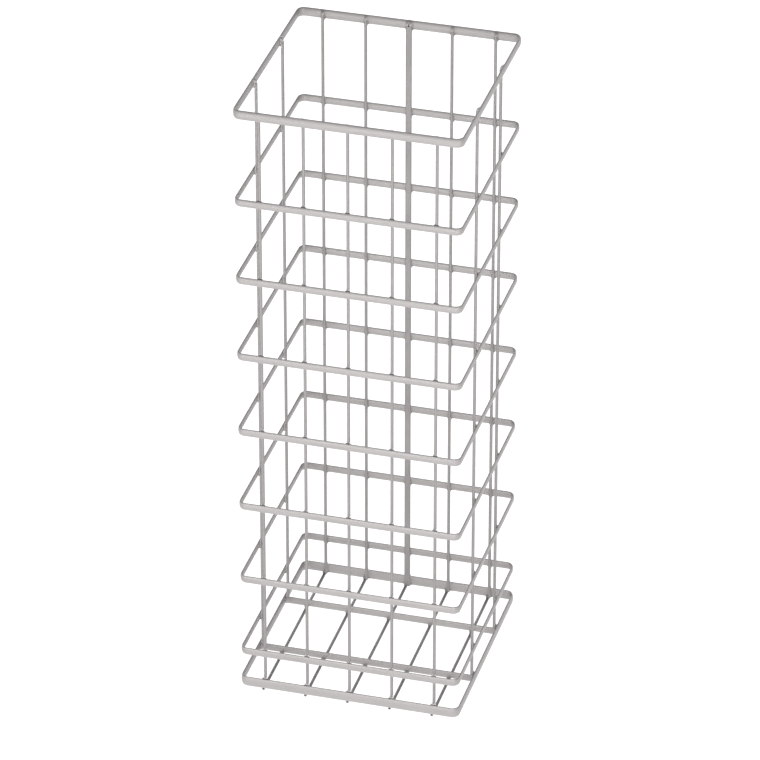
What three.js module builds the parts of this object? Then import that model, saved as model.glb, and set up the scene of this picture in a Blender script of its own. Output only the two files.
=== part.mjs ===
// A welded steel umbrella stand, open at the top. Nine square hoops of flattened
// wire stand one above the other. Round wire uprights are welded to their inner
// sides, and a grid of wires across the bottom carries the umbrellas' tips.
// Millimetres, +Z up. The origin is on the floor, at the centre of the footprint,
// and the front faces -Y.

import * as THREE from 'three';

// Footprint, between the inner faces of the hoops, and overall height.
const INNER_WIDTH = 203;
const INNER_DEPTH = 203;
const HEIGHT = 600;

// Flattened wire: height of the section, its thickness, and the cut of its edges.
const HOOP_WIRE = { height: 7.2, thickness: 2, edge: 0.5 };
const TOP_WIRE = { height: 8.8, thickness: 2.4, edge: 0.6 };
const BASE_WIRE = { height: 9.8, thickness: 2.4, edge: 0.6 };

// Inner radius of a hoop's corners, and the curve steps of each bend.
const CORNER_RADIUS = 5;
const CORNER_FACETS = 3;

// Round wire, drawn as a bar of eight flats, and the space left at each weld.
const ROUND_WIRE = 2.8;
const ROUND_SIDES = 8;
const WELD_GAP = 0.05;

// Spacing of the wires of the front, the back and the floor. Each side has only two
// uprights, farther apart.
const WIRE_SPACING = 40;
const WIRES_ACROSS = 5;
const SIDE_SPACING = 82;
const UPRIGHT_TOP = 595.5;

// The floor wires lie a little to the left of the uprights' feet, and reach this far
// under the base ring.
const FLOOR_SHIFT = -1.6;
const FLOOR_LAP = 0.9;

// The hoops between the base ring and the top ring.
const HOOP_COUNT = 7;
const FIRST_HOOP_Z = 40.6;
const HOOP_PITCH = 78;

// Grey coating, which is a little darker on the round wire.
const FLAT_COATING = { color: 0xb5b2b0, roughness: 0.48, metalness: 0.35 };
const ROUND_COATING = { color: 0xaba8a6, roughness: 0.48, metalness: 0.35 };

// Levels and planes that follow from the sizes above.
const BASE_BOTTOM = ROUND_WIRE + WELD_GAP;
const BASE_Z = BASE_BOTTOM + BASE_WIRE.height / 2;
const TOP_Z = HEIGHT - TOP_WIRE.height / 2;
const CROSS_BAR_TOP = BASE_BOTTOM + HOOP_WIRE.height;
const WIRE_INSET = ROUND_WIRE / 2 + WELD_GAP;
const FRONT_PLANE = INNER_DEPTH / 2 - WIRE_INSET;
const SIDE_PLANE = INNER_WIDTH / 2 - WIRE_INSET;

const stand = new THREE.Group();

// Adds one piece with a material of its own, and returns it.
function addPiece(name, geometry, coating) {
  const piece = new THREE.Mesh(geometry, new THREE.MeshStandardMaterial(coating));
  piece.name = name;
  stand.add(piece);
  return piece;
}

// Traces a rectangle with rounded corners around the origin.
function traceRoundedRectangle(path, width, depth, radius) {
  const x = width / 2 - radius;
  const y = depth / 2 - radius;
  const quarter = Math.PI / 2;
  path.absarc(x, y, radius, 0, quarter, false);
  path.absarc(-x, y, radius, quarter, 2 * quarter, false);
  path.absarc(-x, -y, radius, 2 * quarter, 3 * quarter, false);
  path.absarc(x, -y, radius, 3 * quarter, 4 * quarter, false);
  path.closePath();
  return path;
}

// A closed hoop of flattened wire that stands on edge, centred on height z.
function addHoop(name, wire, z) {
  const width = INNER_WIDTH + 2 * wire.thickness;
  const depth = INNER_DEPTH + 2 * wire.thickness;
  const outerRadius = CORNER_RADIUS + wire.thickness;
  const outline = traceRoundedRectangle(new THREE.Shape(), width, depth, outerRadius);
  const opening = traceRoundedRectangle(new THREE.Path(), INNER_WIDTH, INNER_DEPTH, CORNER_RADIUS);
  outline.holes.push(opening);
  const geometry = new THREE.ExtrudeGeometry(outline, {
    depth: wire.height - 2 * wire.edge,
    curveSegments: CORNER_FACETS,
    bevelThickness: wire.edge,
    bevelSize: wire.edge,
    bevelOffset: -wire.edge,
    bevelSegments: 1,
  });
  geometry.translate(0, 0, wire.edge - wire.height / 2);
  addPiece(name, geometry, FLAT_COATING).position.z = z;
}

// A straight bar of flattened wire along X that stands on edge, centred on its length.
function crossBar(wire, length) {
  const face = wire.thickness / 2;
  const flat = face - wire.edge;
  const section = new THREE.Shape();
  section.moveTo(face, wire.edge);
  section.lineTo(face, wire.height - wire.edge);
  section.lineTo(flat, wire.height);
  section.lineTo(-flat, wire.height);
  section.lineTo(-face, wire.height - wire.edge);
  section.lineTo(-face, wire.edge);
  section.lineTo(-flat, 0);
  section.lineTo(flat, 0);
  section.closePath();
  const geometry = new THREE.ExtrudeGeometry(section, { depth: length, bevelEnabled: false });
  geometry.translate(0, 0, -length / 2);
  geometry.rotateX(Math.PI / 2);
  geometry.rotateZ(Math.PI / 2);
  return geometry;
}

// A straight round wire along Z, centred, with flats that face the X and Y axes.
function roundWire(length) {
  const cornerRadius = ROUND_WIRE / 2 / Math.cos(Math.PI / ROUND_SIDES);
  const geometry = new THREE.CylinderGeometry(cornerRadius, cornerRadius, length, ROUND_SIDES);
  geometry.rotateY(Math.PI / ROUND_SIDES);
  geometry.rotateX(Math.PI / 2);
  return geometry;
}

// A vertical wire from height bottom up to the rim.
function addUpright(name, x, y, bottom) {
  const length = UPRIGHT_TOP - bottom;
  addPiece(name, roundWire(length), ROUND_COATING).position.set(x, y, bottom + length / 2);
}

addHoop('base_ring', BASE_WIRE, BASE_Z);
for (let i = 0; i < HOOP_COUNT; i += 1) {
  addHoop(`hoop_${i + 1}`, HOOP_WIRE, FIRST_HOOP_Z + i * HOOP_PITCH);
}
addHoop('top_ring', TOP_WIRE, TOP_Z);

// Floor wires run from front to back, with their ends under the base ring. Each goes
// with an upright at the front and one at the back, and the middle one with a pair at
// the back.
const middle = (WIRES_ACROSS - 1) / 2;
for (let i = 0; i < WIRES_ACROSS; i += 1) {
  const x = (i - middle) * WIRE_SPACING;
  const floorWire = roundWire(INNER_DEPTH + 2 * FLOOR_LAP);
  floorWire.rotateX(Math.PI / 2);
  const wire = addPiece(`floor_wire_${i + 1}`, floorWire, ROUND_COATING);
  wire.position.set(x + FLOOR_SHIFT, 0, ROUND_WIRE / 2);
  addUpright(`front_upright_${i + 1}`, x, -FRONT_PLANE, BASE_BOTTOM);
  const shift = i === middle ? WIRE_INSET : 0;
  addUpright(`back_upright_${i + 1}`, x - shift, FRONT_PLANE, BASE_BOTTOM);
}
addUpright('back_seam_upright', WIRE_INSET, FRONT_PLANE, BASE_BOTTOM);

// The cross bars stand on the floor wires and reach from side to side inside the base
// ring. The uprights of both sides stand on their ends.
const sideUprightBottom = CROSS_BAR_TOP + WELD_GAP;
const crossBarLength = INNER_WIDTH - 2 * WELD_GAP;
for (const [place, y] of [['front', -SIDE_SPACING / 2], ['rear', SIDE_SPACING / 2]]) {
  const bar = crossBar(HOOP_WIRE, crossBarLength);
  addPiece(`cross_bar_${place}`, bar, FLAT_COATING).position.set(0, y, BASE_BOTTOM);
  addUpright(`left_upright_${place}`, -SIDE_PLANE, y, sideUprightBottom);
  addUpright(`right_upright_${place}`, SIDE_PLANE, y, sideUprightBottom);
}

export default stand;
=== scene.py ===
# A welded steel umbrella stand with a satin grey powder coat, standing on a pale floor.
# Metres, +Z up. The front faces -Y.

import math

import bmesh
import bpy
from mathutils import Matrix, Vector


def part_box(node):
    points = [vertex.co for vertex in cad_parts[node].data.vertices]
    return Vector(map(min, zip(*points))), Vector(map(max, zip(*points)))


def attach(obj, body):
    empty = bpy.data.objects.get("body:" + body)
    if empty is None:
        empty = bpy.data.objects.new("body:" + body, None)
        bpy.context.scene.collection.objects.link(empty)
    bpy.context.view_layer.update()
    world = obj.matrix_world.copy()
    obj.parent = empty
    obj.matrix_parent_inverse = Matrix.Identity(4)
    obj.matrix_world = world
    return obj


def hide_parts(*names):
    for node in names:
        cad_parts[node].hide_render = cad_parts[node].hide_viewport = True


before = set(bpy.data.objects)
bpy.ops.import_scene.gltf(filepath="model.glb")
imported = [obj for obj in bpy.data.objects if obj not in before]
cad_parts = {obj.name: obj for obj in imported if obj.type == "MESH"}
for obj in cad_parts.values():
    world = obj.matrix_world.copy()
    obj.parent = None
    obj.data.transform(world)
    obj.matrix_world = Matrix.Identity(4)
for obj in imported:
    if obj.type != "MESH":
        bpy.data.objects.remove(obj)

MM = 0.001

# The picture's camera: where it aims, from which side and how high, how far and how long.
AIM = Vector((1.1, 0, 286.1)) * MM
AZIMUTH = 15.54
ELEVATION = 30.66
DISTANCE = 5.0
LENS = 261.9
CLIP_END = 100

# Inner radius of the hoops' corners, and how finely corners and sections are drawn.
CORNER_RADIUS = 5 * MM
CORNER_STEPS = 24
FLAT_SECTION_POINTS = 48
ROUND_SECTION_POINTS = 24
SHARP_ANGLE = math.radians(50)

# A flattened wire's section is a superellipse: 2 is an ellipse, and more is squarer.
FLAT_WIRE_POWER = 2.0

# The ends of a round wire are cut, and the coating rounds the cut's rim.
RIM = 0.4 * MM
RIM_STEPS = 4

# Weld metal fills the corner between a round wire and what it crosses. It spreads along
# the face on both sides of the wire, and runs out along the wire past the other's edges.
# The run is shorter where the wire itself ends.
WELD_SPREAD = 1.1 * MM
WELD_RUN = 2.4 * MM
BLUNT_RUN = 1.2 * MM
BASE_WELD_SPREAD = 1.9 * MM
BASE_WELD_RUN = 4.0 * MM
FLOOR_WELD_SPREAD = 0.7 * MM
FLOOR_BLUNT_RUN = 0.3 * MM
WELD_STEPS = 8

# The run starts with a short ledge and then thins in a hollow curve of this power.
WELD_LEDGE = 0.1 * MM
WELD_HOLLOW = 1.7

# On a hoop, a weld is full except for this share of the wire's height at both edges, and
# it sinks into the wire by this share of the thickness. Every weld's buried face bulges.
WELD_MARGIN = 0.08
WELD_SINK = 0.45
FLOOR_WELD_SINK = 0.5 * MM
WELD_BULGE = 0.3 * MM

# Section of a weld, in radii of the round wire: its crest and the bend below it, out from
# the wire's middle and up from the face, and how far a run's edge lifts off the face.
CREST_OUT = 0.9
CREST_UP = 1.1
BEND_OUT = 0.95
BEND_UP = 0.12
RUN_LIFT = 0.3

# Over the top end of an upright the weld rounds back to the rim's inner side, in a
# superellipse. Its first section just wraps the wire, in radii of the wire.
CAP_LAP = 1.0 * MM
CAP_MARGIN = 0.2 * MM
CAP_SPREAD = 1.3 * MM
CAP_SINK = 1.0 * MM
CAP_EDGE = 0.1 * MM
CAP_POWER = 2.1
CAP_OUT = 0.96
CAP_UP = 1.96

# The fillet around a cross bar's end starts inside the base ring's wire and ends inside
# the bar. Its height follows the bar's, and grows by less than its width.
BAR_WELD_START = 0.2 * MM
BAR_WELD_TUCK = 0.1 * MM
BAR_WELD_HEIGHT = 0.9
BAR_WELD_GROWTH = 0.5

# The coating between the two wires of the seam at the back.
SEAM_BRIDGE_WIDTH = 3.2 * MM
SEAM_BRIDGE_DEPTH = 2.74 * MM
SEAM_BRIDGE_POWER = 12

# The butt weld that closes each hoop at the middle of the back.
SEAM_SWELL = 0.10
SEAM_WIDTH = 1.6 * MM
SEAM_STEPS = 8

# The coat's lighter and darker tone, which uneven cover mixes. The round wire's copy is
# darkened as painted shade, and the welds' copy is lightened as painted light against the
# shade in the corners they fill.
FLAT_SHADES = ((0.427, 0.406, 0.402), (0.356, 0.339, 0.335))
ROUND_SHADES_WITH_PAINTED_SHADE = ((0.341, 0.324, 0.321), (0.27, 0.257, 0.254))
WELD_SHADES_WITH_PAINTED_LIGHT = ((0.519, 0.494, 0.488), (0.432, 0.411, 0.407))

# Uneven cover mixes the shades and changes the gloss, and each flake adds its own
# brightness. Scales are per metre.
COVER_SCALE = 38.0
COVER_LOW = 0.3
COVER_HIGH = 0.7
GLOSSY = 0.44
MATT = 0.54
FLAKE_SCALE = 2600.0
FLAKE_SPREAD = 0.16

# Relief of the coat: the broad waves of its orange peel, and a finer grain.
PEEL_SCALE = 900.0
PEEL_STRENGTH = 0.35
PEEL_DEPTH = 0.08 * MM
GRAIN_SCALE = 4200.0
GRAIN_STRENGTH = 0.3
GRAIN_DEPTH = 0.02 * MM

METALLIC = 0.4
CLEAR_COAT = 0.05
CLEAR_COAT_ROUGHNESS = 0.3

# The floor is a disc that glows. The light around it falls from the horizon's strength to
# the sky's over this height of a unit sphere.
FLOOR_RADIUS = 30
FLOOR_SEGMENTS = 64
FLOOR_GREY = 0.2
FLOOR_GLOW = 1.12
HORIZON_LIGHT = 1.0
SKY_LIGHT = 0.32
HORIZON_HEIGHT = 0.08

WHITE = (1.0, 1.0, 1.0, 1.0)

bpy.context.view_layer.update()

HOOPS = ["base_ring", *[f"hoop_{i}" for i in range(1, 8)], "top_ring"]
FLOOR_WIRES = [f"floor_wire_{i}" for i in range(1, 6)]
FRONT_UPRIGHTS = [f"front_upright_{i}" for i in range(1, 6)]
BACK_UPRIGHTS = [*[f"back_upright_{i}" for i in range(1, 6)], "back_seam_upright"]
LEFT_UPRIGHTS = ["left_upright_front", "left_upright_rear"]
RIGHT_UPRIGHTS = ["right_upright_front", "right_upright_rear"]
CROSS_BARS = ["cross_bar_front", "cross_bar_rear"]

# The hoops' wire is drawn up to the uprights' outer sides, without the solids' weld gap.
INNER_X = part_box(RIGHT_UPRIGHTS[0])[1].x
INNER_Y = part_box(BACK_UPRIGHTS[0])[1].y


# ---------------------------------------------------------------- camera

def place_camera():
    azimuth = math.radians(AZIMUTH)
    elevation = math.radians(ELEVATION)
    away = Vector((
        math.sin(azimuth) * math.cos(elevation),
        -math.cos(azimuth) * math.cos(elevation),
        math.sin(elevation),
    ))
    data = bpy.data.cameras.new("camera")
    data.lens = LENS
    data.clip_end = CLIP_END
    camera = bpy.data.objects.new("camera", data)
    camera.location = AIM + away * DISTANCE
    camera.rotation_mode = "QUATERNION"
    camera.rotation_quaternion = (-away).to_track_quat("-Z", "Y")
    bpy.context.scene.collection.objects.link(camera)
    bpy.context.scene.camera = camera


# ---------------------------------------------------------------- materials

def add_node(tree, kind, inputs=None, **settings):
    """Adds a shader node, and links or sets its inputs."""
    node = tree.nodes.new(kind)
    for name, value in settings.items():
        setattr(node, name, value)
    for name, value in (inputs or {}).items():
        if isinstance(value, bpy.types.NodeSocket):
            tree.links.new(value, node.inputs[name])
        else:
            node.inputs[name].default_value = value
    return node


def colour_sockets(sockets):
    return [socket for socket in sockets if socket.type == "RGBA"]


def powder_coat(name, shades):
    """Satin silver-grey powder coat: flakes, orange peel, and slightly uneven cover."""
    material = bpy.data.materials.new(name)
    material.use_nodes = True
    tree = material.node_tree
    tree.nodes.clear()
    place = add_node(tree, "ShaderNodeTexCoord").outputs["Object"]

    cover = add_node(tree, "ShaderNodeTexNoise", {
        "Vector": place, "Scale": COVER_SCALE, "Detail": 3.0,
    })
    flakes = add_node(tree, "ShaderNodeTexVoronoi", {"Vector": place, "Scale": FLAKE_SCALE})
    flake = add_node(tree, "ShaderNodeSeparateColor", {"Color": flakes.outputs["Color"]})
    flake_light = add_node(tree, "ShaderNodeMapRange", {
        "Value": flake.outputs["Red"], "From Min": 0.0, "From Max": 1.0,
        "To Min": -FLAKE_SPREAD, "To Max": FLAKE_SPREAD,
    })
    shade = add_node(tree, "ShaderNodeMath", {
        0: cover.outputs["Fac"], 1: flake_light.outputs["Result"],
    }, operation="ADD")
    colour = add_node(tree, "ShaderNodeMix", {"Factor": shade.outputs["Value"]}, data_type="RGBA")
    for socket, value in zip(colour_sockets(colour.inputs), reversed(shades)):
        socket.default_value = (*value, 1.0)

    roughness = add_node(tree, "ShaderNodeMapRange", {
        "Value": cover.outputs["Fac"], "From Min": COVER_LOW, "From Max": COVER_HIGH,
        "To Min": GLOSSY, "To Max": MATT,
    })
    peel = add_node(tree, "ShaderNodeTexNoise", {
        "Vector": place, "Scale": PEEL_SCALE, "Detail": 2.0,
    })
    grain = add_node(tree, "ShaderNodeTexNoise", {
        "Vector": place, "Scale": GRAIN_SCALE, "Detail": 1.0,
    })
    peel_bump = add_node(tree, "ShaderNodeBump", {
        "Height": peel.outputs["Fac"], "Strength": PEEL_STRENGTH, "Distance": PEEL_DEPTH,
    })
    bump = add_node(tree, "ShaderNodeBump", {
        "Height": grain.outputs["Fac"], "Normal": peel_bump.outputs["Normal"],
        "Strength": GRAIN_STRENGTH, "Distance": GRAIN_DEPTH,
    })
    shader = add_node(tree, "ShaderNodeBsdfPrincipled", {
        "Base Color": colour_sockets(colour.outputs)[0],
        "Roughness": roughness.outputs["Result"],
        "Normal": bump.outputs["Normal"],
        "Metallic": METALLIC,
        "Coat Weight": CLEAR_COAT,
        "Coat Roughness": CLEAR_COAT_ROUGHNESS,
    })
    output = add_node(tree, "ShaderNodeOutputMaterial")
    tree.links.new(shader.outputs["BSDF"], output.inputs["Surface"])
    return material


# ---------------------------------------------------------------- meshes

def superellipse(half_width, half_height, power, count):
    """Points of a closed section, anticlockwise from +X."""
    points = []
    for i in range(count):
        angle = 2 * math.pi * i / count
        across = math.copysign(abs(math.cos(angle)) ** (2 / power), math.cos(angle))
        up = math.copysign(abs(math.sin(angle)) ** (2 / power), math.sin(angle))
        points.append((across * half_width, up * half_height))
    return points


def loft(mesh, sections, closed):
    """Skins a row of equal sections. An open row gets a cap at both ends."""
    rows = [[mesh.verts.new(point) for point in section] for section in sections]
    count = len(rows[0])
    last = len(rows) if closed else len(rows) - 1
    for i in range(last):
        near, far = rows[i], rows[(i + 1) % len(rows)]
        for j in range(count):
            k = (j + 1) % count
            mesh.faces.new((near[j], near[k], far[k], far[j]))
    if not closed:
        mesh.faces.new(list(reversed(rows[0])))
        mesh.faces.new(rows[-1])


def finish_piece(name, mesh, material, nodes=()):
    """Makes a smooth object of the mesh, which rides on the stand and may replace nodes."""
    bmesh.ops.recalc_face_normals(mesh, faces=mesh.faces)
    data = bpy.data.meshes.new(name)
    mesh.to_mesh(data)
    mesh.free()
    data.materials.append(material)
    data.shade_smooth()
    data.set_sharp_from_angle(angle=SHARP_ANGLE)
    piece = bpy.data.objects.new(name, data)
    bpy.context.scene.collection.objects.link(piece)
    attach(piece, "root")
    if nodes:
        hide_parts(*nodes)


def hoop_path(half_x, half_y, radius):
    """Stations of a rounded rectangle: (point, outward direction, swell of the section)."""
    stations = []
    corners = [(1, 1), (-1, 1), (-1, -1), (1, -1)]
    for i, (sign_x, sign_y) in enumerate(corners):
        for step in range(CORNER_STEPS + 1):
            angle = math.pi / 2 * (i + step / CORNER_STEPS)
            out = Vector((math.cos(angle), math.sin(angle), 0))
            centre = Vector((sign_x * (half_x - radius), sign_y * (half_y - radius), 0))
            stations.append((centre + out * radius, out, 1.0))
        if i == 0:
            for step in range(SEAM_STEPS + 1):
                along = SEAM_WIDTH * (1 - 2 * step / SEAM_STEPS)
                swell = 1 + SEAM_SWELL * math.cos(along / SEAM_WIDTH * math.pi / 2) ** 2
                stations.append((Vector((along, half_y, 0)), Vector((0, 1, 0)), swell))
    return stations


def make_hoop(node, material):
    """A closed hoop of flattened wire, with its butt weld at the middle of the back."""
    low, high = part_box(node)
    thickness = high.x - INNER_X
    section = superellipse(
        thickness / 2, (high.z - low.z) / 2, FLAT_WIRE_POWER, FLAT_SECTION_POINTS,
    )
    path = hoop_path(
        INNER_X + thickness / 2, INNER_Y + thickness / 2, CORNER_RADIUS + thickness / 2,
    )
    middle = Vector((0, 0, (low.z + high.z) / 2))
    mesh = bmesh.new()
    loft(mesh, [
        [middle + point + out * (x * swell) + Vector((0, 0, z * swell)) for x, z in section]
        for point, out, swell in path
    ], closed=True)
    finish_piece(f"{node}_wire", mesh, material, [node])


def make_bar(node, material):
    """A straight flattened wire along X."""
    low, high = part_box(node)
    middle = (low + high) / 2
    section = superellipse(
        (high.y - low.y) / 2, (high.z - low.z) / 2, FLAT_WIRE_POWER, FLAT_SECTION_POINTS,
    )
    mesh = bmesh.new()
    loft(mesh, [
        [Vector((x, middle.y + y, middle.z + z)) for y, z in section]
        for x in (-INNER_X, INNER_X)
    ], closed=False)
    finish_piece(f"{node}_wire", mesh, material, [node])


def make_round_wire(node, material):
    """A straight round wire along the node's longest side, with rounded cut ends."""
    low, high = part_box(node)
    size = high - low
    axis = max(range(3), key=lambda i: size[i])
    side, up = [i for i in range(3) if i != axis]
    radius = min(size) / 2
    middle = (low + high) / 2
    rows = []
    for step in range(RIM_STEPS + 1):
        turn = math.pi / 2 * step / RIM_STEPS
        place = low[axis] + RIM * (1 - math.sin(turn))
        rows.append((place, radius - RIM * (1 - math.cos(turn))))
    rows.sort()
    rows += [(low[axis] + high[axis] - place, width) for place, width in reversed(rows)]
    mesh = bmesh.new()
    sections = []
    for place, row_radius in rows:
        section = []
        for i in range(ROUND_SECTION_POINTS):
            angle = 2 * math.pi * i / ROUND_SECTION_POINTS
            point = middle.copy()
            point[axis] = place
            point[side] += row_radius * math.cos(angle)
            point[up] += row_radius * math.sin(angle)
            section.append(point)
        sections.append(section)
    loft(mesh, sections, closed=False)
    finish_piece(f"{node}_wire", mesh, material, [node])


def add_weld(mesh, foot, normal, along, radius, span, runs, spread, sink):
    """A fillet on both sides of a round wire that lies along a face.

    foot is on the face, under the wire. The fillet is full over the span, measured from
    the foot along the wire, and sinks this deep into the face. Past both ends of the
    span it narrows to the wire in a hollow curve.
    """
    across = along.cross(normal)
    stations = [(span[0], 1.0, -sink), (span[1], 1.0, -sink)]
    for i in range(WELD_STEPS + 1):
        part = i / WELD_STEPS
        fill = (1 - part) ** WELD_HOLLOW
        near, far = [WELD_LEDGE + (run - WELD_LEDGE) * part for run in runs]
        stations.insert(0, (span[0] - near, fill, 0.0))
        stations.append((span[1] + far, fill, 0.0))
    sections = []
    for place, fill, root in stations:
        width = radius * CREST_OUT + (spread + radius * (1 - CREST_OUT)) * fill
        bulge = WELD_BULGE * fill
        corner = Vector((width, root + radius * RUN_LIFT * (1 - fill)))
        bend = Vector((radius * BEND_OUT, corner.y + radius * BEND_UP))
        crest = Vector((radius * CREST_OUT, radius * CREST_UP))
        side = []
        for j in range(WELD_STEPS + 1):
            t = j / WELD_STEPS
            side.append(corner * (1 - t) ** 2 + bend * (2 * t * (1 - t)) + crest * t ** 2)
        buried = []
        for j in range(1, WELD_STEPS):
            t = 2 * j / WELD_STEPS - 1
            buried.append(Vector((width * t, corner.y - bulge * (1 - t * t))))
        outline = side + [Vector((-point.x, point.y)) for point in reversed(side)] + buried
        start = foot + along * place
        sections.append([start + across * point.x + normal * point.y for point in outline])
    loft(mesh, sections, closed=False)


def add_cap(mesh, foot, normal, radius, start, end):
    """The weld over an upright's top end, which rounds back from the wire to the face."""
    across = Vector((0, 0, 1)).cross(normal)
    sections = []
    for i in range(WELD_STEPS + 1):
        turn = math.pi / 2 * i / WELD_STEPS
        part = math.sin(turn) ** (2 / CAP_POWER)
        fall = abs(math.cos(turn)) ** (2 / CAP_POWER)
        width = radius * CAP_OUT + CAP_SPREAD * part
        crest = (radius * CAP_UP + CAP_SINK) * fall - CAP_SINK
        root = min(-CAP_SINK, crest) - CAP_EDGE
        place = foot + Vector((0, 0, start + (end - start) * part))
        outline = []
        for j in range(2 * WELD_STEPS + 1):
            turn = math.pi * j / (2 * WELD_STEPS)
            outline.append((width * math.cos(turn), root + (crest - root) * math.sin(turn)))
        sections.append([place + across * x + normal * y for x, y in outline])
    loft(mesh, sections, closed=False)


def make_upright_welds(material):
    """One piece of welds for each hoop, where the uprights cross it."""
    up = Vector((0, 0, 1))
    faces = (
        (FRONT_UPRIGHTS, Vector((0, 1, 0))),
        (BACK_UPRIGHTS, Vector((0, -1, 0))),
        (LEFT_UPRIGHTS, Vector((1, 0, 0))),
        (RIGHT_UPRIGHTS, Vector((-1, 0, 0))),
    )
    for node in HOOPS:
        low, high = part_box(node)
        base = node == "base_ring"
        spread = BASE_WELD_SPREAD if base else WELD_SPREAD
        run = BASE_WELD_RUN if base else WELD_RUN
        margin = (high.z - low.z) * WELD_MARGIN
        sink = (high.x - INNER_X) * WELD_SINK
        mesh = bmesh.new()
        for uprights, normal in faces:
            for upright in uprights:
                wire_low, wire_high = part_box(upright)
                foot = (wire_low + wire_high) / 2
                foot.x = -normal.x * INNER_X if normal.x else foot.x
                foot.y = -normal.y * INNER_Y if normal.y else foot.y
                foot.z = 0
                start, end, runs = low.z + margin, high.z - margin, [run, run]
                if wire_low.z > low.z - run:
                    start, runs[0] = wire_low.z + BLUNT_RUN, BLUNT_RUN
                if wire_high.z < high.z + run:
                    end, runs[1] = wire_high.z, BLUNT_RUN
                span = (start, end)
                radius = (wire_high.x - wire_low.x) / 2
                add_weld(mesh, foot, normal, up, radius, span, runs, spread, sink)
                if wire_high.z < high.z:
                    top = high.z - CAP_MARGIN
                    add_cap(mesh, foot, normal, radius, wire_high.z - CAP_LAP, top)
        finish_piece(f"{node}_welds", mesh, material)


def make_floor_welds(material):
    """The welds of the floor wires, under the base ring and under both cross bars."""
    down, back = Vector((0, 0, -1)), Vector((0, 1, 0))
    mesh = bmesh.new()
    for wire in FLOOR_WIRES:
        low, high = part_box(wire)
        radius = (high.z - low.z) / 2
        foot = Vector(((low.x + high.x) / 2, 0, high.z))
        joints = [
            (low.y + FLOOR_BLUNT_RUN, -INNER_Y, FLOOR_BLUNT_RUN, WELD_RUN),
            (INNER_Y, high.y - FLOOR_BLUNT_RUN, WELD_RUN, FLOOR_BLUNT_RUN),
        ]
        for bar in CROSS_BARS:
            bar_low, bar_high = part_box(bar)
            joints.append((bar_low.y, bar_high.y, WELD_RUN, WELD_RUN))
        for start, end, run_in, run_out in joints:
            span, runs = (start, end), (run_in, run_out)
            add_weld(
                mesh, foot, down, back, radius, span, runs, FLOOR_WELD_SPREAD, FLOOR_WELD_SINK,
            )
    finish_piece("floor_welds", mesh, material)


def make_seam_bridge(material):
    """The coating that fills the groove between the two wires of the seam."""
    left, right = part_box("back_upright_3"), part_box("back_seam_upright")
    middle = (left[0] + right[1]) / 2
    section = superellipse(
        SEAM_BRIDGE_WIDTH / 2, SEAM_BRIDGE_DEPTH / 2, SEAM_BRIDGE_POWER, FLAT_SECTION_POINTS,
    )
    mesh = bmesh.new()
    loft(mesh, [
        [Vector((middle.x + x, middle.y + y, z)) for x, y in section]
        for z in (left[0].z + RIM, left[1].z - RIM)
    ], closed=False)
    finish_piece("seam_bridge", mesh, material)


def make_bar_welds(material):
    """The fillets that join the ends of the cross bars to the inside of the base ring."""
    mesh = bmesh.new()
    for bar in CROSS_BARS:
        low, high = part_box(bar)
        middle = (low + high) / 2
        radius = (high.y - low.y) / 2
        half = (high.z - low.z) / 2
        for side in (-1, 1):
            centre = Vector((side * INNER_X, middle.y, middle.z))
            sections = []
            for i in range(WELD_STEPS + 1):
                part = i / WELD_STEPS
                growth = BASE_WELD_SPREAD * (1 - part) ** 2 - BAR_WELD_TUCK * part
                section = superellipse(
                    radius + growth, half * BAR_WELD_HEIGHT + growth * BAR_WELD_GROWTH,
                    FLAT_WIRE_POWER, ROUND_SECTION_POINTS,
                )
                inward = BASE_WELD_SPREAD * part - BAR_WELD_START
                place = centre - Vector((side * inward, 0, 0))
                sections.append([place + Vector((0, y, z)) for y, z in section])
            loft(mesh, sections, closed=False)
    finish_piece("cross_bar_welds", mesh, material)


# ---------------------------------------------------------------- stage

def make_floor():
    """A broad pale floor that glows a little, like a light table."""
    mesh = bmesh.new()
    bmesh.ops.create_circle(mesh, cap_ends=True, segments=FLOOR_SEGMENTS, radius=FLOOR_RADIUS)
    data = bpy.data.meshes.new("floor")
    mesh.to_mesh(data)
    mesh.free()
    floor = bpy.data.objects.new("floor", data)
    bpy.context.scene.collection.objects.link(floor)
    material = bpy.data.materials.new("pale_floor")
    material.use_nodes = True
    shader = material.node_tree.nodes["Principled BSDF"]
    shader.inputs["Base Color"].default_value = (FLOOR_GREY, FLOOR_GREY, FLOOR_GREY, 1.0)
    shader.inputs["Roughness"].default_value = 1.0
    shader.inputs["Specular IOR Level"].default_value = 0.0
    shader.inputs["Emission Color"].default_value = WHITE
    shader.inputs["Emission Strength"].default_value = FLOOR_GLOW
    data.materials.append(material)


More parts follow.
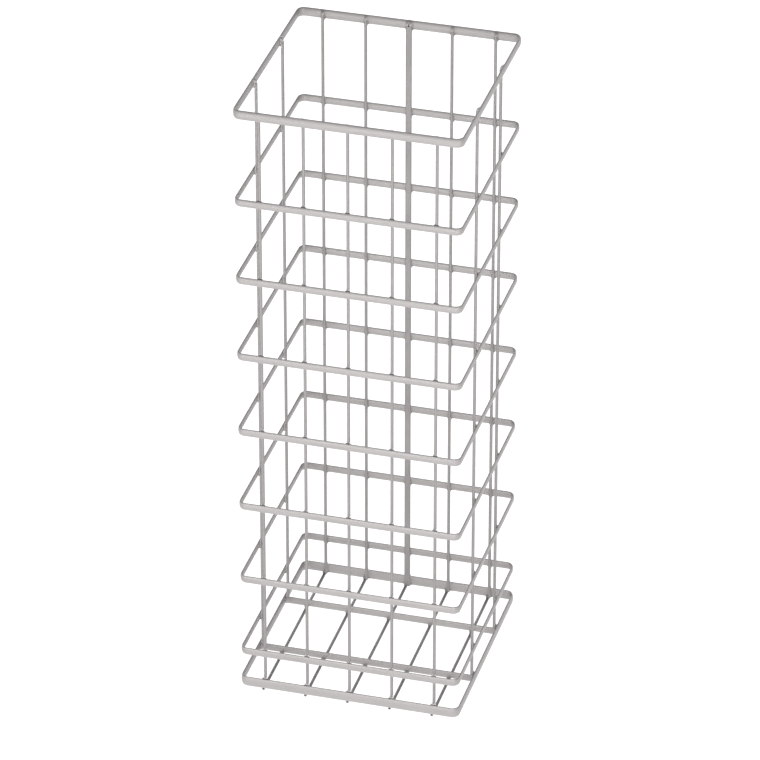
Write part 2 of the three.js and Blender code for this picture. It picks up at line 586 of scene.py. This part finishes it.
def add_softbox(name, azimuth, distance, height, tilt, size, power):
    """A softbox that faces the stand's middle line, tilted down by some degrees.

    Azimuth 0 is in front of the stand, and 90 is at +X.
    """
    turn, dip = math.radians(azimuth), math.radians(tilt)
    away = Vector((math.sin(turn), -math.cos(turn), 0))
    facing = Vector((0, 0, -1)) * math.sin(dip) - away * math.cos(dip)
    data = bpy.data.lights.new(name, "AREA")
    data.shape = "RECTANGLE"
    data.size, data.size_y = size
    data.energy = power
    light = bpy.data.objects.new(name, data)
    light.location = away * distance + Vector((0, 0, height))
    light.rotation_mode = "QUATERNION"
    light.rotation_quaternion = facing.to_track_quat("-Z", "Y")
    light.visible_camera = False
    bpy.context.scene.collection.objects.link(light)


def make_light():
    """A pale room that is brightest at the horizon, and three softboxes."""
    world = bpy.data.worlds.new("studio")
    world.use_nodes = True
    tree = world.node_tree
    tree.nodes.clear()
    direction = add_node(tree, "ShaderNodeTexCoord").outputs["Generated"]
    height = add_node(tree, "ShaderNodeSeparateXYZ", {"Vector": direction}).outputs["Z"]
    strength = add_node(tree, "ShaderNodeMapRange", {
        "Value": height, "From Min": 0.0, "From Max": HORIZON_HEIGHT,
        "To Min": HORIZON_LIGHT, "To Max": SKY_LIGHT,
    }, interpolation_type="SMOOTHSTEP")
    background = add_node(tree, "ShaderNodeBackground", {
        "Color": WHITE, "Strength": strength.outputs["Result"],
    })
    output = add_node(tree, "ShaderNodeOutputWorld")
    tree.links.new(background.outputs["Background"], output.inputs["Surface"])
    bpy.context.scene.world = world
    add_softbox("key", azimuth=-4, distance=1.3, height=0.14, tilt=25, size=(2.4, 0.26), power=12)
    add_softbox("side", azimuth=48, distance=0.8, height=0.4, tilt=0, size=(0.4, 0.6), power=0.9)
    add_softbox(
        "back_fill", azimuth=195, distance=2.2, height=1.1, tilt=26, size=(1.8, 1.2), power=18,
    )
    bpy.context.scene.view_settings.view_transform = "Standard"


# ---------------------------------------------------------------- build

place_camera()
flat_coat = powder_coat("flat_wire_coat", FLAT_SHADES)
# The round wire's coat is the same coat, darkened as painted shade.
round_coat_with_painted_shade = powder_coat("round_wire_coat_with_painted_shade", ROUND_SHADES_WITH_PAINTED_SHADE)
# The welds' coat is the same coat, lightened as painted light against the shade in the corners
# they fill.
weld_coat_with_painted_light = powder_coat("weld_coat_with_painted_light", WELD_SHADES_WITH_PAINTED_LIGHT)
for hoop in HOOPS:
    make_hoop(hoop, flat_coat)
for bar in CROSS_BARS:
    make_bar(bar, flat_coat)
for wire in [*FLOOR_WIRES, *FRONT_UPRIGHTS, *BACK_UPRIGHTS, *LEFT_UPRIGHTS, *RIGHT_UPRIGHTS]:
    make_round_wire(wire, round_coat_with_painted_shade)
make_upright_welds(weld_coat_with_painted_light)
make_floor_welds(weld_coat_with_painted_light)
make_seam_bridge(round_coat_with_painted_shade)
make_bar_welds(flat_coat)
make_floor()
make_light()
